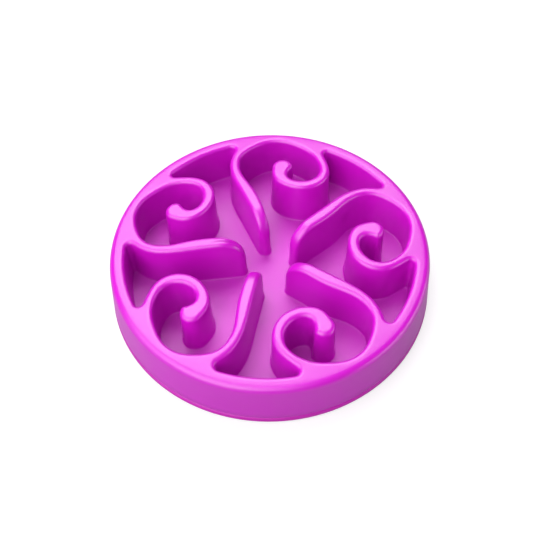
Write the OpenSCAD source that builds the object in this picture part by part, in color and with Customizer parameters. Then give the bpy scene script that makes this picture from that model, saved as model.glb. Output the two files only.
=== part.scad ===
// Slow feeder bowl: a domed plastic bowl whose channels run between five curled ridges.
// A base plate on rubber feet closes it underneath. The rim is hollow, while the ridges,
// closed in by the plate, are solid inside.
// Origin: middle of the bowl on the table, +Z up. Lengths are in millimetres.

/* [Bowl] */
// Outside diameter across the foot of the skirt
bowl_diameter = 200; // [180:1:230]
// Height of the rim's outer edge above the table
rim_height = 33.2; // [29:0.2:42]
// Rise of the ridge tops from the rim to the middle
crown_rise = 5.3; // [3:0.1:8]
// How far the skirt leans in from its foot to the rim
skirt_lean = 3; // [1.5:0.1:5]
// Width of the rim's top, from its outer edge to the channels
rim_width = 8.7; // [8:0.1:11]
// Radius of the rim's outer edge
rim_round = 2; // [1:0.1:3.5]
// Wall thickness of the moulding
wall = 2.2; // [1.6:0.1:2.5]
// Thickness of the channels' floor
floor_thickness = 1.8; // [1.4:0.1:3]

/* [Ridges] */
// Number of curled ridges
ridge_count = 5; // [3:1:5]
// Slope of the channel walls, in degrees from upright
wall_draft = 1.5; // [1:0.25:4]
// Radius along both edges of a ridge's top
ridge_round = 2.4; // [1:0.1:2.4]
// Length over which a ridge's inner end rounds down
nose_length = 16.3; // [12:0.1:20]
// Height over which a ridge's inner end rounds down
nose_drop = 17.3; // [12:0.1:20]
// Radius at the floor of the round pocket end where a ridge joins the rim
join_end_round = 2.1; // [1.2:0.1:2.6]
// Radius at the floor of the round pocket end where a curl leaves the rim
leave_end_round = 1.8; // [1.2:0.1:2.4]

/* [Base plate] */
// Thickness of the base plate
plate_thickness = 2; // [1.6:0.1:2.2]
// Height of the plate's edge, which shows under the seam
edge_height = 3.6; // [3:0.1:4.5]
// Depth of the groove along the seam
seam_groove = 0.5; // [0.2:0.05:0.6]
// Height of the rib that centres the bowl on the plate
rib_height = 2.4; // [1.6:0.1:6]
// Thickness of the rib
rib_thickness = 1.6; // [1.2:0.1:2]
// Gap round the rib, and between the plate and the floor
seat_clearance = 0.2; // [0.1:0.05:0.3]

/* [Feet] */
// Number of rubber feet
foot_count = 5; // [3:1:5]
// Diameter of a foot
foot_diameter = 16; // [10:0.5:20]
// How far the feet stand out below the plate
foot_stand = 1; // [0.6:0.1:2]
// How deep a foot sits in the plate
foot_seat = 1; // [0.6:0.1:1.2]
// Distance of a foot's middle from the skirt's foot
foot_inset = 24; // [20:1:36]
// Radius along a foot's lower edge
foot_round = 0.5; // [0.2:0.1:0.5]
// Gap round a foot in its seat
foot_clearance = 0.1; // [0.05:0.05:0.2]

/* [Hidden] */
// Facets of the round forms, of the feet, and of the small rounds in the pockets
$fn = 72;
foot_fn = 40;
small_fn = 20;

// Cuts run past a surface by this much
overrun = 1;
// Steps in each fillet, and in the rounded end of a ridge
fillet_steps = 2;
end_steps = 4;
// Steps between two points of a ridge's edges
edge_steps = 3;
// Bands in the domed top
dome_bands = 5;
// How far a ridge's crest rises over the dome before the dome trims it
crest_lift = 0.1;
// Radius of the posts that a pocket's corner is spanned between
post_radius = 0.3;

foot_radius = bowl_diameter / 2;
foot_circle = foot_radius - foot_inset;
rim_radius = foot_radius - skirt_lean;
channel_radius = rim_radius - rim_width;
seam_height = foot_stand + edge_height;
floor_low = foot_stand + plate_thickness + seat_clearance;
floor_top = floor_low + floor_thickness;
floor_middle = (floor_low + floor_top) / 2;
draft_rate = tan(wall_draft);
skirt_rate = skirt_lean / (rim_height - foot_stand);

// Setback and depth of each ring in the rounded edge of a ridge's top. The last facet
// runs on until it stands above the dome.
fillet_turn = 90 / fillet_steps;
edge_marks = concat(
    [for (a = [0 : fillet_turn : 90 - fillet_turn]) ridge_round * [1 - cos(a), 1 - sin(a)]],
    [[ridge_round + crest_lift / tan(fillet_turn / 2), -crest_lift]]);

// Edges of one curled ridge as shares of the channel radius, from its inner end to its hook:
// x and y on the outer side, then x and y on the side that faces the curl.
// Between the join and the curl the outer side runs inside the rim.
ridge_shares = [
    [-0.070, 0.195, 0.000, 0.222],
    [-0.171, 0.436, -0.082, 0.468],
    [-0.259, 0.665, -0.190, 0.687],
    [-0.268, 0.830, -0.197, 0.820],
    [-0.246, 0.890, -0.170, 0.878],
    [-0.214, 0.955, -0.112, 0.932],
    [-0.160, 1.045, -0.041, 0.978],
    [-0.060, 1.065, 0.033, 1.002],
    [0.050, 1.065, 0.104, 1.000],
    [0.160, 1.055, 0.172, 0.982],
    [0.330, 1.005, 0.290, 0.904],
    [0.392, 0.935, 0.336, 0.855],
    [0.423, 0.845, 0.366, 0.800],
    [0.455, 0.703, 0.388, 0.703],
    [0.414, 0.580, 0.352, 0.624],
    [0.295, 0.507, 0.266, 0.581],
    [0.160, 0.524, 0.180, 0.600],
    [0.061, 0.604, 0.141, 0.648],
    [0.037, 0.672, 0.158, 0.688],
    [0.039, 0.728, 0.188, 0.728]
];

// Height of the domed top over the table
function dome(point) = rim_height + crown_rise * (1 - pow(norm(point) / rim_radius, 2));

// Radius of the leaning skirt at a height
function skirt_radius(height) = rim_radius + skirt_rate * (rim_height - height);

// Point of a smooth curve between b and c, with a and d as its neighbours
function curve_point(a, b, c, d, t) =
    b + t / 2 * (c - a + t * (2 * a - 5 * b + 4 * c - d + t * (3 * b - 3 * c + d - a)));

// Smooth curve through a row of points
function smooth(points, steps) = [
    for (i = [0 : len(points) - 2], k = [0 : steps - 1])
        curve_point(points[max(i - 1, 0)], points[i], points[i + 1],
            points[min(i + 2, len(points) - 1)], k / steps),
    points[len(points) - 1]
];

function turn_left(v) = [-v.y, v.x];
function unit(v) = v / norm(v);
function direction(angle) = [cos(angle), sin(angle)];

// Half of a rounded end: from its tip to the side at centre + side, or back
function round_end(centre, side, ahead, from_tip) = [
    for (k = [1 : end_steps - 1])
        let (a = 90 * (from_tip ? end_steps - k : k) / end_steps)
        centre + cos(a) * side + sin(a) * ahead
];

// One side of a ridge from the tip of its nose to the tip of its hook
function ridge_side(column, steps) =
    let (sides = [for (row = ridge_shares) channel_radius * [row[column], row[column + 1]]])
    let (others = [for (row = ridge_shares) channel_radius * [row[2 - column], row[3 - column]]])
    let (last = len(sides) - 1, hand = column == 0 ? 1 : -1)
    let (nose_side = (sides[0] - others[0]) / 2, hook_side = (sides[last] - others[last]) / 2)
    let (nose_ahead = hand * turn_left(nose_side), hook_ahead = -hand * turn_left(hook_side))
    let (nose = sides[0] - nose_side, hook = sides[last] - hook_side)
    concat(
        [nose + nose_ahead],
        round_end(nose, nose_side, nose_ahead, true),
        smooth(sides, steps),
        round_end(hook, hook_side, hook_ahead, false),
        [hook + hook_ahead]);

// Closed outline of a ridge's top: out along the outer side, back along the other
function ridge_outline() =
    let (out = ridge_side(0, edge_steps), back = ridge_side(2, edge_steps))
    concat(out, [for (i = [len(back) - 2 : -1 : 1]) back[i]]);

// Outward direction at each point of a closed outline that runs clockwise
function outward(outline) =
    let (n = len(outline))
    [for (i = [0 : n - 1]) unit(turn_left(outline[(i + 1) % n] - outline[(i + n - 1) % n]))];

// Axis of a ridge's straight inner end, from the tip of its nose
nose_tip = ridge_side(0, 1)[0];
nose_axis = unit(channel_radius * [ridge_shares[0][0] + ridge_shares[0][2],
    ridge_shares[0][1] + ridge_shares[0][3]] / 2 - nose_tip);

// How far the top has rounded down at a point near the nose
function nose_fall(point) =
    let (inside = max((point - nose_tip) * nose_axis, 0))
    inside >= nose_length ? 0 : nose_drop * (1 - sqrt(1 - pow(1 - inside / nose_length, 2)));
function ridge_top(point) = dome(point) - nose_fall(point);

// Radius at the top of a round pocket end, which narrows towards the floor
function end_radius(floor_round) = floor_round + draft_rate * (dome([channel_radius, 0]) - floor_top);

// The round pocket ends between a ridge's outer side and the rim, as [centre, way to the
// ridge]: first where the ridge joins the rim, then where its curl leaves it. A circle
// round such a centre touches the ridge and the rim.
function pocket_ends(side, radius) =
    let (out = outward(side))
    let (gap = [for (i = [0 : len(side) - 1])
        norm(side[i] + radius * out[i]) + radius - channel_radius])
    [for (i = [1 : len(side) - 3])
        if (gap[i] * gap[i + 1] < 0)
            let (t = gap[i] / (gap[i] - gap[i + 1]))
            let (turn = unit(out[i] + t * (out[i + 1] - out[i])))
            [side[i] + t * (side[i + 1] - side[i]) + radius * turn, -turn]];

// One ring round a ridge: set in from the sloping wall, at a depth below the top
function side_ring(outline, out, inset, depth) = [
    for (i = [0 : len(outline) - 1])
        let (fall = nose_fall(outline[i]))
        let (point = outline[i] + out[i] * (draft_rate * (fall + depth) - inset))
        [point.x, point.y, ridge_top(point) - depth]
];

// One ring round a ridge at a fixed height
function level_ring(outline, out, height) = [
    for (i = [0 : len(outline) - 1])
        let (point = outline[i] + out[i] * draft_rate * (dome(outline[i]) - height))
        [point.x, point.y, height]
];

// Faces of a stack of rings, closed by strips from side to side
function stack_faces(ring_size, ring_count) =
    let (top = (ring_count - 1) * ring_size, half = ring_size / 2)
    concat(
        [for (r = [0 : ring_count - 2], i = [0 : ring_size - 1])
            let (a = r * ring_size + i, b = r * ring_size + (i + 1) % ring_size)
            each [[a, b + ring_size, a + ring_size], [a, b, b + ring_size]]],
        [for (i = [0 : half - 1])
            let (a = i, b = i + 1, c = (ring_size - i - 1) % ring_size, d = (ring_size - i) % ring_size)
            each concat(
                b == c ? [] : [[top + a, top + b, top + c], [a, c, b]],
                a == d ? [] : [[top + a, top + c, top + d], [a, d, c]])]);

module ring_stack(rings) {
    polyhedron(
        points = [for (ring = rings) each ring],
        faces = stack_faces(len(rings[0]), len(rings)));
}

// A curled ridge with sloping walls, rounded edges and a nose that rounds down
module ridge() {
    outline = ridge_outline();
    out = outward(outline);
    ring_stack(concat(
        [level_ring(outline, out, floor_middle)],
        [for (mark = edge_marks) side_ring(outline, out, mark.x, mark.y)]));
}

// Rounded top edge of a round wall: radius and height of each ring
function round_edge(radius, top) =
    [for (mark = edge_marks) [radius - draft_rate * mark.y + mark.x, top - mark.y]];

// The rim from the channels outwards, with the floor
module rim_and_floor() {
    top = dome([channel_radius, 0]);
    rotate_extrude()
        polygon(concat(
            round_edge(channel_radius, top),
            [
                [foot_radius + overrun, rim_height + overrun],
                [foot_radius + overrun, floor_low - overrun],
                [0, floor_low - overrun],
                [0, floor_top],
                [channel_radius - draft_rate * (top - floor_top), floor_top]
            ]));
}

// A thin post that spans from the floor to above the dome
module corner_post(place, height) {
    translate([place.x, place.y, 0])
        cylinder(r = post_radius, h = height, $fn = 4);
}

// Fills the sharp corner between a ridge and the rim, up to a rounded pocket end
module pocket_corner(end, radius) {
    centre = end[0];
    to_ridge = end[1];
    to_rim = unit(centre);
    depth = dome(centre) - floor_middle;
    to_corner = (to_rim + to_ridge) / (1 + to_rim * to_ridge);
    side_reach = radius + wall / 2;
    translate([centre.x, centre.y, floor_middle])
        difference() {
            hull() {
                corner_post([0, 0], depth + overrun);
                corner_post(side_reach * to_rim, depth + overrun);
                corner_post(radius * to_corner, depth + overrun);
                corner_post(side_reach * to_ridge, depth + overrun);
            }
            corner_bore(radius, depth);
        }
}

// The round end of a pocket as a bore that narrows downwards
module corner_bore(radius, depth) {
    edge = round_edge(radius, depth);
    crest_radius = edge[len(edge) - 1].x;
    rotate_extrude($fn = small_fn)
        polygon(concat(
            [[0, -overrun], [radius - draft_rate * (depth + overrun), -overrun]],
            edge,
            [[crest_radius, depth + 2 * overrun], [0, depth + 2 * overrun]]));
}

// Outer form: leaning skirt, round rim edge and domed top. Inside the skirt it reaches
// down to the floor's underside.
module outer_form() {
    skirt_angle = atan(skirt_rate);
    dome_angle = atan(2 * crown_rise / rim_radius);
    skirt_out = direction(skirt_angle);
    dome_out = direction(90 - dome_angle);
    corner = [rim_radius, rim_height] - rim_round * (skirt_out + dome_out) / (1 + skirt_out * dome_out);
    dome_start = corner.x + rim_round * dome_out.x;
    ledge_radius = rim_radius - wall;
    rotate_extrude()
        polygon(concat(
            [
                [0, floor_low],
                [ledge_radius, floor_low],
                [ledge_radius, seam_height],
                [skirt_radius(seam_height), seam_height]
            ],
            [for (k = [0 : 2 * fillet_steps])
                let (a = skirt_angle + (90 - dome_angle - skirt_angle) * k / (2 * fillet_steps))
                corner + rim_round * direction(a)],
            [for (k = [1 : dome_bands])
                let (r = dome_start * (1 - k / dome_bands))
                [r, dome([r, 0])]]));
}

// The hollow in the rim, between the skirt and the channels' outer wall
module rim_hollow() {
    low = floor_low - overrun;
    high = dome([channel_radius, 0]) - ridge_round - wall / 2;
    inner = channel_radius + wall;
    rotate_extrude()
        polygon([
            [inner - draft_rate * (high - low), low],
            [skirt_radius(low) - wall, low],
            [skirt_radius(high - wall) - wall, high - wall],
            [skirt_radius(high) - 2 * wall, high],
            [inner, high]
        ]);
}

// The ridged bowl itself, moulded in one piece
module bowl_shell() {
    join_radius = end_radius(join_end_round);
    leave_radius = end_radius(leave_end_round);
    side = ridge_side(0, edge_steps);
    color("#f64ff0")
        difference() {
            intersection() {
                outer_form();
                union() {
                    rim_and_floor();
                    for (i = [0 : ridge_count - 1])
                        rotate(360 / ridge_count * i) {
                            ridge();
                            pocket_corner(pocket_ends(side, join_radius)[0], join_radius);
                            pocket_corner(pocket_ends(side, leave_radius)[1], leave_radius);
                        }
                }
            }
            rim_hollow();
        }
}

// Where foot number index stands
module foot_place(index) {
    rotate(360 / foot_count * index)
        translate([0, foot_circle, 0])
            children();
}

// Closes the hollow underneath: its edge shows below the seam, its rib centres the bowl
module base_plate() {
    plate_top = foot_stand + plate_thickness;
    edge_radius = skirt_radius(seam_height);
    rib_top = seam_height + rib_height;
    rib_radius = skirt_radius(rib_top) - wall - seat_clearance;
    color("#d13fc6")
        difference() {
            rotate_extrude()
                polygon([
                    [0, foot_stand],
                    [foot_radius - seam_groove, foot_stand],
                    [foot_radius, foot_stand + seam_groove],
                    [edge_radius, seam_height - seam_groove],
                    [edge_radius - seam_groove, seam_height],
                    [rib_radius, seam_height],
                    [rib_radius, rib_top],
                    [rib_radius - rib_thickness, rib_top],
                    [rib_radius - rib_thickness, plate_top],
                    [0, plate_top]
                ]);
            for (i = [0 : foot_count - 1])
                foot_place(i)
                    translate([0, 0, foot_stand - overrun])
                        cylinder(
                            d = foot_diameter + 2 * foot_clearance,
                            h = foot_seat + overrun,
                            $fn = foot_fn);
        }
}

// A rubber foot, pressed into its seat in the plate, with a rounded lower edge
module foot(index) {
    color("#2b2a2c")
        foot_place(index)
            rotate_extrude($fn = foot_fn)
                polygon(concat(
                    [[0, 0]],
                    [for (a = [0 : fillet_turn : 90])
                        [foot_diameter / 2 - foot_round * (1 - sin(a)), foot_round * (1 - cos(a))]],
                    [[foot_diameter / 2, foot_stand + foot_seat], [0, foot_stand + foot_seat]]));
}

bowl_shell();
base_plate();
foot(0);  // foot_1
foot(1);  // foot_2
foot(2);  // foot_3
foot(3);  // foot_4
foot(4);  // foot_5
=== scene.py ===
import math
import bmesh
import bpy
import numpy
from mathutils import Matrix, Vector


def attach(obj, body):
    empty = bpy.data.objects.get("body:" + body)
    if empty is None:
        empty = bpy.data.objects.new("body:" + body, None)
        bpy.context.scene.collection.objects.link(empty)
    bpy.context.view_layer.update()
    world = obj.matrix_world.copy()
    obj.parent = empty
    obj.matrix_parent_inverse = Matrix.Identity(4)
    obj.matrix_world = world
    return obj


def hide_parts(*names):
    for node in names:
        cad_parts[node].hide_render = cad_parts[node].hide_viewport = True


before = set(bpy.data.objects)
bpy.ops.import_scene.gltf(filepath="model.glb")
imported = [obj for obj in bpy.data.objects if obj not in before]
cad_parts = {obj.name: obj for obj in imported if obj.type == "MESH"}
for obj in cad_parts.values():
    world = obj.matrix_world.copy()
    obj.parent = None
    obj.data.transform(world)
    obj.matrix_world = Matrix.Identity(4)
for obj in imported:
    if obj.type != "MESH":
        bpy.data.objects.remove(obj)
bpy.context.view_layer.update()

scene = bpy.context.scene
scene.view_settings.view_transform = "Standard"

# camera first, at the photograph's angle
cameraSetup = {
    "place": (0.0, -0.28872, 0.41767),        # metres
    "turn": (35.255, 0.877, -1.249),          # degrees
    "lens": 52.67, "sensor": 36,              # mm
    "nearest": 0.01,                          # metres
}
cameraData = bpy.data.cameras.new("camera")
cameraData.lens = cameraSetup["lens"]
cameraData.sensor_width = cameraSetup["sensor"]
cameraData.clip_start = cameraSetup["nearest"]
camera = bpy.data.objects.new("camera", cameraData)
camera.location = cameraSetup["place"]
camera.rotation_euler = [math.radians(angle) for angle in cameraSetup["turn"]]
scene.collection.objects.link(camera)
scene.camera = camera
print("camera set")


def hexColor(code):
    # sRGB hex to the linear colour that a shader socket takes
    parts = [int(code[i:i + 2], 16) / 255 for i in (1, 3, 5)]
    return [c / 12.92 if c <= 0.04045 else ((c + 0.055) / 1.055) ** 2.4 for c in parts] + [1]


def addNode(tree, kind, settings=None, links=None):
    # one node, its settings by attribute or socket and its links by socket. Sockets go by name,
    # or by number where a node has several of one name
    node = tree.nodes.new(kind)
    for name, value in (settings or {}).items():
        if isinstance(name, str) and hasattr(node, name) and name not in node.inputs:
            setattr(node, name, value)
        else:
            node.inputs[name].default_value = value
    for name, source in (links or {}).items():
        tree.links.new(source, node.inputs[name])
    return node


def newMaterial(name):
    material = bpy.data.materials.new(name)
    material.use_nodes = True
    material.node_tree.nodes.clear()
    return material, material.node_tree


# moulded ABS: pigmented all through, satin to glossy, so highlights are soft and wide and the
# walls glow a little where they face each other
def mouldedPlastic(name, look):
    material, tree = newMaterial(name)
    place = addNode(tree, "ShaderNodeTexCoord").outputs["Object"]
    # cloudy flow of the pigment, a few centimetres across
    flow = addNode(tree, "ShaderNodeTexNoise",
                   {"Scale": 1000 / look["flowSize"], "Detail": 2.0}, {"Vector": place})
    tint = addNode(tree, "ShaderNodeMix",
                   {"data_type": "RGBA", 6: hexColor(look["colorDeep"]), 7: hexColor(look["colorLight"])},
                   {"Factor": flow.outputs["Fac"]})
    # polish that varies over a centimetre or two
    polish = addNode(tree, "ShaderNodeTexNoise",
                     {"Scale": 1000 / look["polishSize"], "Detail": 3.0}, {"Vector": place})
    polished = addNode(tree, "ShaderNodeMapRange",
                       {"To Min": look["roughness"][0], "To Max": look["roughness"][1]},
                       {"Value": polish.outputs["Fac"]})
    # the channels' floor is duller, as the mould's low faces aren't polished
    height = addNode(tree, "ShaderNodeSeparateXYZ", {}, {"Vector": place})
    low = addNode(tree, "ShaderNodeMapRange",
                  {"From Min": look["dullBelow"] / 1000, "From Max": look["glossyAbove"] / 1000,
                   "To Min": look["lowDull"], "To Max": 0.0},
                  {"Value": height.outputs["Z"]})
    rough = addNode(tree, "ShaderNodeMath", {"operation": "ADD"},
                    {0: polished.outputs["Result"], 1: low.outputs["Result"]})
    # fine mould grain, drawn a little coarser than real so that it shows
    grain = addNode(tree, "ShaderNodeTexNoise",
                    {"Scale": 1000 / look["grainSize"], "Detail": 2.0}, {"Vector": place})
    bump = addNode(tree, "ShaderNodeBump",
                   {"Strength": look["grainStrength"], "Distance": look["grainDepth"] / 1000},
                   {"Height": grain.outputs["Fac"]})
    shader = addNode(tree, "ShaderNodeBsdfPrincipled",
                     {"IOR": look["ior"], "Specular IOR Level": look["sheen"],
                      "Subsurface Weight": look["glow"], "Subsurface Radius": look["glowReach"],
                      "Subsurface Scale": look["glowScale"] / 1000},
                     {"Base Color": tint.outputs[2], "Roughness": rough.outputs[0],
                      "Normal": bump.outputs["Normal"]})
    addNode(tree, "ShaderNodeOutputMaterial", {}, {"Surface": shader.outputs["BSDF"]})
    return material


bowlLook = {
    "colorDeep": "#c808c2", "colorLight": "#d00cca",
    "flowSize": 40, "polishSize": 14,                      # mm
    "roughness": (0.28, 0.37), "ior": 1.54, "sheen": 0.8,
    "lowDull": 0.16,                                       # added roughness on the floor
    "dullBelow": 5, "glossyAbove": 9,                      # mm of height
    "grainSize": 0.9, "grainDepth": 0.03,                  # mm
    "grainStrength": 0.12,
    "glow": 0.3, "glowReach": (0.9, 0.25, 0.8),            # by red, green and blue
    "glowScale": 4,                                        # mm
}
# the plate is less polished, with a coarser grain
plateLook = {
    **bowlLook, "colorDeep": "#c40ab2", "colorLight": "#cc0eba",
    "roughness": (0.38, 0.5), "sheen": 0.5, "lowDull": 0.0, "glow": 0.1,
    "grainSize": 1.1, "grainDepth": 0.04, "grainStrength": 0.2,
}
bowlPlastic = mouldedPlastic("mouldedAbs", bowlLook)
platePlastic = mouldedPlastic("mouldedAbsPlate", plateLook)


# thermoplastic rubber: dark grey, matt, with a fine eggshell grain and dust in it
def footRubber(look):
    material, tree = newMaterial("softRubber")
    place = addNode(tree, "ShaderNodeTexCoord").outputs["Object"]
    dust = addNode(tree, "ShaderNodeTexNoise",
                   {"Scale": 1000 / look["dustSize"], "Detail": 4.0}, {"Vector": place})
    tint = addNode(tree, "ShaderNodeMix",
                   {"data_type": "RGBA", 6: hexColor(look["colorDeep"]), 7: hexColor(look["colorLight"])},
                   {"Factor": dust.outputs["Fac"]})
    grain = addNode(tree, "ShaderNodeTexVoronoi", {"Scale": 1000 / look["grainSize"]}, {"Vector": place})
    bump = addNode(tree, "ShaderNodeBump",
                   {"Strength": look["grainStrength"], "Distance": look["grainDepth"] / 1000},
                   {"Height": grain.outputs["Distance"]})
    rough = addNode(tree, "ShaderNodeMapRange",
                    {"To Min": look["roughness"][0], "To Max": look["roughness"][1]},
                    {"Value": dust.outputs["Fac"]})
    shader = addNode(tree, "ShaderNodeBsdfPrincipled", {"IOR": look["ior"]},
                     {"Base Color": tint.outputs[2], "Roughness": rough.outputs["Result"],
                      "Normal": bump.outputs["Normal"]})
    addNode(tree, "ShaderNodeOutputMaterial", {}, {"Surface": shader.outputs["BSDF"]})
    return material


footLook = {
    "colorDeep": "#1d1c1e", "colorLight": "#2e2d30",
    "dustSize": 5, "grainSize": 0.7, "grainDepth": 0.05,   # mm
    "grainStrength": 0.3, "roughness": (0.62, 0.8), "ior": 1.52,
}
rubber = footRubber(footLook)

# the ridged bowl, one moulding. Lengths are in mm and heights are above the table
bowl = {
    "ridges": 5,
    "rimRadius": 97.0, "channelRadius": 88.3, "rimHeight": 33.2, "crownRise": 5.3,
    "skirtRate": 3.0 / 32.2,                  # outwards for each mm down
    "skirtHeights": (24, 16, 9),              # of the rings down the skirt
    "rimRound": 4.5, "wall": 2.2,
    "floorTop": 5.0, "floorLow": 3.2, "seamHeight": 4.6, "seamLip": 1.0,
    "draft": 1.5,                             # degrees
    "ridgeRound": 2.7,
    "footRound": 1.0, "noseFootRound": 0.8, "leastFootRound": 0.15, "leastLean": 0.05,
    "noseLength": 16.3, "noseDrop": 17.3,
    "noseZone": 0.45,                         # share of channelRadius that the noses stay within
    "joinEnd": 2.1, "leaveEnd": 1.8,          # radii at the floor of the pockets' round ends
    "widestChannel": 6.0, "widestRidge": 4.6,     # no rounding needs more room beside a wall
    "channelShare": 0.9, "ridgeShare": 0.92,  # of that room, taken where it is narrow
    "pointSpacing": 0.9, "arcSpacing": 0.8, "evenSpacing": 1.5,
    "curveSteps": 12, "outerRounds": 900, "innerRounds": 250,     # evening of a ridge's two sides
    "rimSteps": 240,                          # round the bowl
    "facets": (6, 3),                         # longest edges on the top, split by split
    # the ridge's two sides, from its inner end to the end of its curl, as shares of channelRadius:
    # x and y on the outer side, then x and y on the side that faces the curl
    "ridgeEdges": [
        (-0.070, 0.195, 0.000, 0.222), (-0.171, 0.436, -0.082, 0.468), (-0.259, 0.665, -0.190, 0.687),
        (-0.268, 0.830, -0.197, 0.820), (-0.246, 0.890, -0.170, 0.878), (-0.214, 0.955, -0.112, 0.932),
        (-0.160, 1.045, -0.041, 0.978), (-0.060, 1.065, 0.033, 1.002), (0.050, 1.065, 0.104, 1.000),
        (0.160, 1.055, 0.172, 0.982), (0.330, 1.005, 0.290, 0.904), (0.392, 0.935, 0.336, 0.855),
        (0.423, 0.845, 0.366, 0.800), (0.455, 0.703, 0.388, 0.703), (0.414, 0.580, 0.352, 0.624),
        (0.295, 0.507, 0.266, 0.581), (0.160, 0.524, 0.180, 0.600), (0.061, 0.604, 0.141, 0.648),
        (0.037, 0.672, 0.158, 0.688), (0.039, 0.728, 0.188, 0.728),
    ],
}
bowlDraft = math.tan(math.radians(bowl["draft"]))
ridgeTurn = 360 / bowl["ridges"]


def heading(angle):
    return Vector((math.cos(math.radians(angle)), math.sin(math.radians(angle))))


def smoothCurve(points, steps):
    # Catmull-Rom curve through the points
    curve = []
    for i in range(len(points) - 1):
        a, b, c, d = points[max(i - 1, 0)], points[i], points[i + 1], points[min(i + 2, len(points) - 1)]
        for k in range(steps):
            t = k / steps
            bend = (2 * a - 5 * b + 4 * c - d + (3 * b - 3 * c + d - a) * t) * t
            curve.append(b + (c - a + bend) * (t / 2))
    return curve + [points[-1]]


def evenSpacing(line, spacing, closed=True):
    # points a fixed way apart along a line
    ends = line[1:] + line[:1] if closed else line[1:]
    lengths = [(b - a).length for a, b in zip(line, ends)]
    count = round(sum(lengths) / spacing)
    step = sum(lengths) / count
    points, travelled, target = [], 0.0, 0.0
    for a, b, length in zip(line, ends, lengths):
        while target < travelled + length - 1e-9 and len(points) < count:
            points.append(a.lerp(b, (target - travelled) / length))
            target += step
        travelled += length
    return points if closed else points + [line[-1]]


def evened(curve, rounds):
    # the same curve with its small waves taken out: each round draws a point towards its
    # neighbours, then lets it back, so that wide bends keep their size
    line = evenSpacing(curve, bowl["evenSpacing"], closed=False)
    for pull in (0.5, -0.51) * rounds:
        middle = [p.lerp((a + b) / 2, pull) for a, p, b in zip(line, line[1:], line[2:])]
        line = [line[0]] + middle + [line[-1]]
    return smoothCurve(line, 3)


def arc(centre, radius, start, end):
    steps = max(6, round(math.radians(abs(end - start)) * radius / bowl["arcSpacing"]))
    return [centre + radius * heading(start + (end - start) * k / steps) for k in range(steps + 1)]


def roundEnd(outer, inner, side):
    # half circle round the end of a ridge, from its outer side to the side of its curl
    half = (outer - inner) / 2
    ahead = side * Vector((-half.y, half.x))
    turns = [math.radians(a) for a in range(12, 180, 12)]
    return [(outer + inner) / 2 + math.cos(a) * half + math.sin(a) * ahead for a in turns]


def dome(point):
    # height of the domed top
    return bowl["rimHeight"] + bowl["crownRise"] * (1 - point.length_squared / bowl["rimRadius"] ** 2)


def pocketEnd(side, floorRound, which):
    # centre, radius and start and end angles of the circle that touches the rim and a ridge's
    # outer side, and the side's point before it: 0 where the ridge joins the rim, 1 where it leaves
    scale = bowl["channelRadius"]
    radius = floorRound + bowlDraft * (dome(Vector((scale, 0))) - bowl["floorTop"])
    ways = [(b - a).normalized() for a, b in zip(side[:-2], side[2:])]
    ways = [Vector((-w.y, w.x)) for w in ways]
    centres = [p + radius * w for p, w in zip(side[1:-1], ways)]
    gaps = [c.length + radius - scale for c in centres]
    at = [i for i in range(len(gaps) - 1) if gaps[i] * gaps[i + 1] < 0][which]
    share = gaps[at] / (gaps[at] - gaps[at + 1])
    centre = centres[at].lerp(centres[at + 1], share)
    away = ways[at].lerp(ways[at + 1], share)
    rimAngle = math.degrees(math.atan2(centre.y, centre.x))
    ridgeAngle = math.degrees(math.atan2(-away.y, -away.x))
    return centre, radius, rimAngle, ridgeAngle, at + 1


def channelLoop():
    # the closed line where the channels meet the top: five curls and the stretches of rim between
    scale, steps = bowl["channelRadius"], bowl["curveSteps"]
    outer = smoothCurve([Vector(row[0:2]) * scale for row in bowl["ridgeEdges"]], steps)
    inner = smoothCurve([Vector(row[2:4]) * scale for row in bowl["ridgeEdges"]], steps)
    outer, inner = evened(outer, bowl["outerRounds"]), evened(inner, bowl["innerRounds"])
    leaveCentre, leaveRadius, leaveRim, leaveRidge, leaveAt = pocketEnd(outer, bowl["leaveEnd"], 1)
    joinCentre, joinRadius, joinRim, joinRidge, joinAt = pocketEnd(outer, bowl["joinEnd"], 0)
    unit = arc(leaveCentre, leaveRadius, leaveRim, leaveRidge % 360)
    unit += outer[leaveAt + 2:] + roundEnd(outer[-1], inner[-1], -1) + inner[::-1]
    unit += roundEnd(outer[0], inner[0], 1)[::-1] + outer[:joinAt]
    unit += arc(joinCentre, joinRadius, joinRidge, joinRim)
    unit += arc(Vector((0, 0)), scale, joinRim, leaveRim + ridgeTurn)[1:-1]
    loop = []
    for i in range(bowl["ridges"]):
        turn = Matrix.Rotation(math.radians(ridgeTurn * i), 2)
        loop += [turn @ point for point in unit]
    return loop


def roomBeside(points, normals, most):
    # radius of the largest disc that touches each point from its normal's side
    place = numpy.array([p[:] for p in points])
    ahead = numpy.array([n[:] for n in normals])
    room = []
    for p, n in zip(place, ahead):
        gap = place - p
        forward = gap @ n
        near = forward > 1e-4
        size = (gap[near] ** 2).sum(axis=1) / (2 * forward[near])
        room.append(min(most, size.min(initial=most)))
    return [min(room[i - 1], room[i], room[(i + 1) % len(room)]) for i in range(len(room))]


# the tip of the first ridge's nose, and the way from it along the ridge
noseOuter, noseInner = Vector(bowl["ridgeEdges"][0][0:2]), Vector(bowl["ridgeEdges"][0][2:4])
noseHalf = (noseOuter - noseInner) / 2
noseAxis = -Vector((-noseHalf.y, noseHalf.x)).normalized()
noseTip = ((noseOuter + noseInner) / 2 - noseAxis * noseHalf.length) * bowl["channelRadius"]


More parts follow.
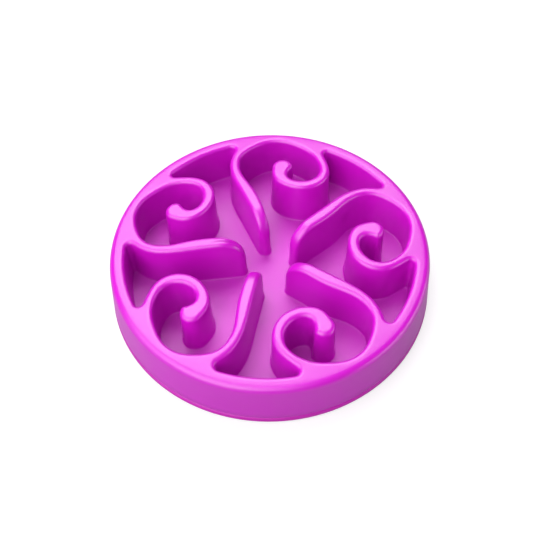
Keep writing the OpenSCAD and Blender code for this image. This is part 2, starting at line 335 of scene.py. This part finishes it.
def noseFall(point):
    # how far the top has rounded down near a ridge's inner end
    if point.length > bowl["noseZone"] * bowl["channelRadius"]:
        return 0.0
    angle = math.degrees(math.atan2(point.y, point.x)) - math.degrees(math.atan2(noseTip.y, noseTip.x))
    local = Matrix.Rotation(-math.radians(round(angle / ridgeTurn) * ridgeTurn), 2) @ point
    inside = max((local - noseTip).dot(noseAxis), 0)
    if inside >= bowl["noseLength"]:
        return 0.0
    return bowl["noseDrop"] * (1 - math.sqrt(1 - (1 - inside / bowl["noseLength"]) ** 2))


def bowlRings(points):
    # rings of points from the middle of the ridges' tops to the channels' floor
    count = len(points)
    tangents = [(points[(i + 1) % count] - points[i - 1]).normalized() for i in range(count)]
    normals = [Vector((-t.y, t.x)) for t in tangents]           # into the channel
    channelRoom = roomBeside(points, normals, bowl["widestChannel"])
    ridgeRoom = roomBeside(points, [-n for n in normals], bowl["widestRidge"])

    def topRing(inset, depth, share=0.0):
        # inside the ridge's edge, depth below the top, then by a share of the way to its middle line
        made = []
        for p, n, room in zip(points, normals, ridgeRoom):
            reach = bowl["ridgeShare"] * room
            inner = p - n * (min(inset, reach) + share * (reach - min(inset, reach)))
            spread = noseFall(p) * max(0, 1 - inset / bowl["ridgeRound"])
            q = inner + n * bowlDraft * (spread + depth)
            made.append(Vector((q.x, q.y, dome(inner) - noseFall(inner) - depth)))
        return made

    def wallRing(share, angle):
        # down the sloping wall by a share of its height, then round the foot by an angle.
        # Where a channel is narrow, the foot's round and the slope give way
        made = []
        for p, n, room in zip(points, normals, channelRoom):
            fall = noseFall(p)
            top = dome(p) - fall - bowl["ridgeRound"]
            lean = bowlDraft * (dome(p) - bowl["floorTop"])
            free = bowl["channelShare"] * room - bowl["leastFootRound"]
            noseShare = min(1, 1.5 * fall / bowl["noseDrop"])       # whole from two thirds down
            footRound = bowl["footRound"] + (bowl["noseFootRound"] - bowl["footRound"]) * noseShare
            footRound = max(bowl["leastFootRound"], min(footRound, free - lean))
            lean = min(lean, max(free - footRound, bowl["leastLean"]))
            low = bowl["floorTop"] + footRound
            height = top + (low - top) * share
            out = lean * (dome(p) - height) / (dome(p) - bowl["floorTop"])
            out += footRound * (1 - math.cos(angle))
            q = p + n * out
            made.append(Vector((q.x, q.y, height - footRound * math.sin(angle))))
        return made

    r = bowl["ridgeRound"]
    edgeAngles = [math.radians(a) for a in (75, 60, 45, 30, 15)]
    footAngles = [math.radians(a) for a in (18, 36, 54, 72, 90)]
    rings = [topRing(r, 0, share) for share in (1, 0.5, 0)]
    rings += [topRing(r * (1 - math.cos(a)), r * (1 - math.sin(a))) for a in edgeAngles]
    rings += [wallRing(share, 0) for share in (0, 0.35, 0.7, 1)]
    rings += [wallRing(1, a) for a in footAngles]
    return rings


def growRing(mesh, chain, edges, level):
    # the next ring, extruded from the last one and set to its own points
    grown = bmesh.ops.extrude_edge_only(mesh, edges=edges)["geom"]
    newEdges = [g for g in grown if isinstance(g, bmesh.types.BMEdge) and len(g.link_faces) == 1
                and all(len(v.link_faces) == 2 for v in g.verts)]
    order = {v: i for i, v in enumerate(chain)}
    newChain = [None] * len(chain)
    for v in [g for g in grown if isinstance(g, bmesh.types.BMVert)]:
        for e in v.link_edges:
            if e.other_vert(v) in order:
                newChain[order[e.other_vert(v)]] = v
    for v, p in zip(newChain, level):
        v.co = p
    return newChain, newEdges


def skirtProfile():
    # radius and height from the rim's edge down the skirt, in at the seam, up the hollow of the
    # rim and in under the floor
    skirtAngle = math.degrees(math.atan(bowl["skirtRate"]))
    topAngle = 90 - math.degrees(math.atan(2 * bowl["crownRise"] / bowl["rimRadius"]))
    skirtOut, topOut = heading(skirtAngle), heading(topAngle)
    corner = Vector((bowl["rimRadius"], bowl["rimHeight"]))
    corner -= bowl["rimRound"] / (1 + skirtOut.dot(topOut)) * (skirtOut + topOut)
    edgeAngles = [topAngle + (skirtAngle - topAngle) * k / 10 for k in range(11)]
    profile = [corner + bowl["rimRound"] * heading(angle) for angle in edgeAngles]

    def skirt(height):
        return bowl["rimRadius"] + bowl["skirtRate"] * (bowl["rimHeight"] - height)

    seam, lip, wall, low = bowl["seamHeight"], bowl["seamLip"], bowl["wall"], bowl["floorLow"]
    high = dome(Vector((bowl["channelRadius"], 0))) - bowl["ridgeRound"] - wall / 2
    hollow = bowl["channelRadius"] + wall
    below = [(skirt(height), height) for height in bowl["skirtHeights"]]
    below += [(skirt(seam + lip), seam + lip), (skirt(seam) - lip * 0.3, seam + lip * 0.3)]
    below += [(skirt(seam) - lip, seam), (skirt(seam) - wall, seam)]
    below += [(skirt(high) - wall, high - wall), (skirt(high) - 2 * wall, high)]
    below += [(hollow, high), (hollow - bowlDraft * (high - low), low), (0, low)]
    return profile + [Vector(place) for place in below]


def fillTop(mesh):
    # the flat of the rim and ridges, in finer facets that are lifted to the dome. Its faces carry
    # material index 1 meanwhile
    openEdges = [e for e in mesh.edges if len(e.link_faces) == 1]
    filled = bmesh.ops.triangle_fill(mesh, edges=openEdges, use_beauty=True, use_dissolve=False,
                                     normal=(0, 0, 1))
    for g in filled["geom"]:
        if isinstance(g, bmesh.types.BMFace):
            g.material_index = 1
    for longest in bowl["facets"]:
        wide = [e for e in mesh.edges if e.calc_length() > longest
                and all(f.material_index == 1 for f in e.link_faces)]
        split = bmesh.ops.subdivide_edges(mesh, edges=wide, cuts=1)
        for g in split["geom_inner"]:
            if isinstance(g, bmesh.types.BMVert):
                flat = Vector(g.co[:2])
                g.co.z = dome(flat) - noseFall(flat)
        bmesh.ops.triangulate(mesh, faces=[f for f in mesh.faces if f.material_index == 1])
    for f in mesh.faces:
        f.material_index = 0
    # slivers where three points of the top lie in line are left as flaps by the merge, and go
    bmesh.ops.remove_doubles(mesh, verts=mesh.verts, dist=1e-3)
    flaps = [f for f in mesh.faces if any(len(e.link_faces) == 1 for e in f.edges)]
    bmesh.ops.delete(mesh, geom=flaps, context="FACES")


def buildBowl():
    # ridges and channels
    mesh = bmesh.new()
    points = evenSpacing(channelLoop(), bowl["pointSpacing"])
    count = len(points)
    rings = bowlRings(points)
    chain = [mesh.verts.new(p) for p in rings[0]]
    edges = [mesh.edges.new((chain[i], chain[(i + 1) % count])) for i in range(count)]
    for level in rings[1:]:
        chain, edges = growRing(mesh, chain, edges, level)
    bmesh.ops.triangle_fill(mesh, edges=edges, use_beauty=True, use_dissolve=False, normal=(0, 0, 1))
    print("channels", count, "points a ring")

    # skirt, round rim edge and the hollow in the rim, spun round the axis
    line = [mesh.verts.new((p.x, 0, p.y)) for p in skirtProfile()]
    lineEdges = [mesh.edges.new((a, b)) for a, b in zip(line, line[1:])]
    bmesh.ops.spin(mesh, geom=line + lineEdges, cent=(0, 0, 0), axis=(0, 0, 1), dvec=(0, 0, 0),
                   angle=math.tau, steps=bowl["rimSteps"], use_merge=True, use_duplicate=False)
    bmesh.ops.remove_doubles(mesh, verts=mesh.verts, dist=1e-4)
    fillTop(mesh)
    bmesh.ops.triangulate(mesh, faces=[f for f in mesh.faces if len(f.verts) > 4])
    bmesh.ops.recalc_face_normals(mesh, faces=mesh.faces)
    bmesh.ops.scale(mesh, vec=(0.001, 0.001, 0.001), verts=mesh.verts)      # mm to metres
    bad = [e for e in mesh.edges if len(e.link_faces) != 2]
    print("bowl faces", len(mesh.faces), "open or doubled edges", len(bad),
          "volume cm3", round(mesh.calc_volume() * 1e6, 1))
    data = bpy.data.meshes.new("bowlBody")
    mesh.to_mesh(data)
    mesh.free()
    for polygon in data.polygons:
        polygon.use_smooth = True
    data.materials.append(bowlPlastic)
    piece = bpy.data.objects.new("bowlBody", data)
    scene.collection.objects.link(piece)
    return piece


bowlBody = buildBowl()
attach(bowlBody, "root")
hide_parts("bowl_shell")
print("bowl made")

# the plate and the feet keep their CAD shape and take only their finish
for name, finish in [("base_plate", platePlastic)] + [("foot_%d" % i, rubber) for i in range(1, 6)]:
    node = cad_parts[name]
    node.data.materials.clear()
    node.data.materials.append(finish)
print("plate and feet dressed")

# plain white floor. The camera sees it nearly white, with only a faint shadow close to the bowl,
# while the bowl gets the light of a pale floor
floorLook = {
    "size": 6.0, "height": -0.0002,           # metres
    "color": "#8c8c8c", "seenColor": "#b4b4b4", "seenGlow": 0.6, "mirroredShare": 0.25,
    "fadeFrom": 0.3, "fadeTo": 1.0,           # metres from the bowl's middle
}


def buildFloor(look):
    mesh = bmesh.new()
    bmesh.ops.create_grid(mesh, x_segments=4, y_segments=4, size=look["size"] / 2,
                          matrix=Matrix.Translation((0, 0, look["height"])))
    data = bpy.data.meshes.new("floor")
    mesh.to_mesh(data)
    mesh.free()
    floor = bpy.data.objects.new("floor", data)
    scene.collection.objects.link(floor)
    material, tree = newMaterial("paintedFloor")
    paint = addNode(tree, "ShaderNodeBsdfDiffuse", {"Color": hexColor(look["color"])})
    seenPaint = addNode(tree, "ShaderNodeBsdfDiffuse", {"Color": hexColor(look["seenColor"])})
    # full white away from the bowl, so that no horizon shows
    place = addNode(tree, "ShaderNodeTexCoord").outputs["Object"]
    away = addNode(tree, "ShaderNodeVectorMath", {"operation": "LENGTH"}, {"Vector": place})
    fade = addNode(tree, "ShaderNodeMapRange",
                   {"From Min": look["fadeFrom"], "From Max": look["fadeTo"],
                    "To Min": look["seenGlow"], "To Max": 1.0},
                   {"Value": away.outputs["Value"]})
    glow = addNode(tree, "ShaderNodeEmission",
                   {"Color": (1, 1, 1, 1)}, {"Strength": fade.outputs["Result"]})
    seen = addNode(tree, "ShaderNodeAddShader", {}, {0: seenPaint.outputs[0], 1: glow.outputs[0]})
    # the bowl's gloss mirrors a share of that white as well
    path = addNode(tree, "ShaderNodeLightPath")
    share = addNode(tree, "ShaderNodeMath", {"operation": "MULTIPLY_ADD", 1: look["mirroredShare"]},
                    {0: path.outputs["Is Glossy Ray"], 2: path.outputs["Is Camera Ray"]})
    mix = addNode(tree, "ShaderNodeMixShader", {},
                  {0: share.outputs[0], 1: paint.outputs[0], 2: seen.outputs[0]})
    addNode(tree, "ShaderNodeOutputMaterial", {}, {"Surface": mix.outputs[0]})
    data.materials.append(material)


buildFloor(floorLook)

# soft studio light: large lamps all round. The one at the back gives the tops their sheen, the
# wide ones at the front light the walls
lightSetup = {
    "roomSeen": 1.0, "roomLight": 0.02,       # strength of the white room, seen and as light
    "aim": (0, 0, 0.03),
    "lamps": [
        # name, place in metres, width, height, watts
        ("keyLamp", (-0.1, 0.76, 1.1), 1.4, 1.0, 17.0),
        ("topLamp", (-0.1, 0.0, 1.35), 1.4, 0.7, 4.5),
        ("fillLamp", (-1.3, -1.0, 1.3), 3.0, 2.6, 50.0),
        ("sideLamp", (1.5, -0.3, 0.2), 1.6, 0.5, 8.0),
        ("frontLamp", (-0.6, -1.4, 1.1), 2.4, 1.3, 12.0),
    ],
}


def buildLight(setup):
    world = bpy.data.worlds.new("room")
    scene.world = world
    world.use_nodes = True
    tree = world.node_tree
    tree.nodes.clear()
    path = addNode(tree, "ShaderNodeLightPath")
    seen = addNode(tree, "ShaderNodeMath", {"operation": "MAXIMUM"},
                   {0: path.outputs["Is Camera Ray"], 1: path.outputs["Is Transmission Ray"]})
    strength = addNode(tree, "ShaderNodeMapRange",
                       {"To Min": setup["roomLight"], "To Max": setup["roomSeen"]},
                       {"Value": seen.outputs[0]})
    room = addNode(tree, "ShaderNodeBackground",
                   {"Color": (1, 1, 1, 1)}, {"Strength": strength.outputs["Result"]})
    addNode(tree, "ShaderNodeOutputWorld", {}, {"Surface": room.outputs[0]})
    for name, place, width, height, watts in setup["lamps"]:
        data = bpy.data.lights.new(name, "AREA")
        data.shape = "RECTANGLE"
        data.size = width
        data.size_y = height
        data.energy = watts
        lamp = bpy.data.objects.new(name, data)
        lamp.location = place
        lamp.rotation_euler = (Vector(setup["aim"]) - Vector(place)).to_track_quat("-Z", "Y").to_euler()
        scene.collection.objects.link(lamp)


buildLight(lightSetup)
print("floor and light set")
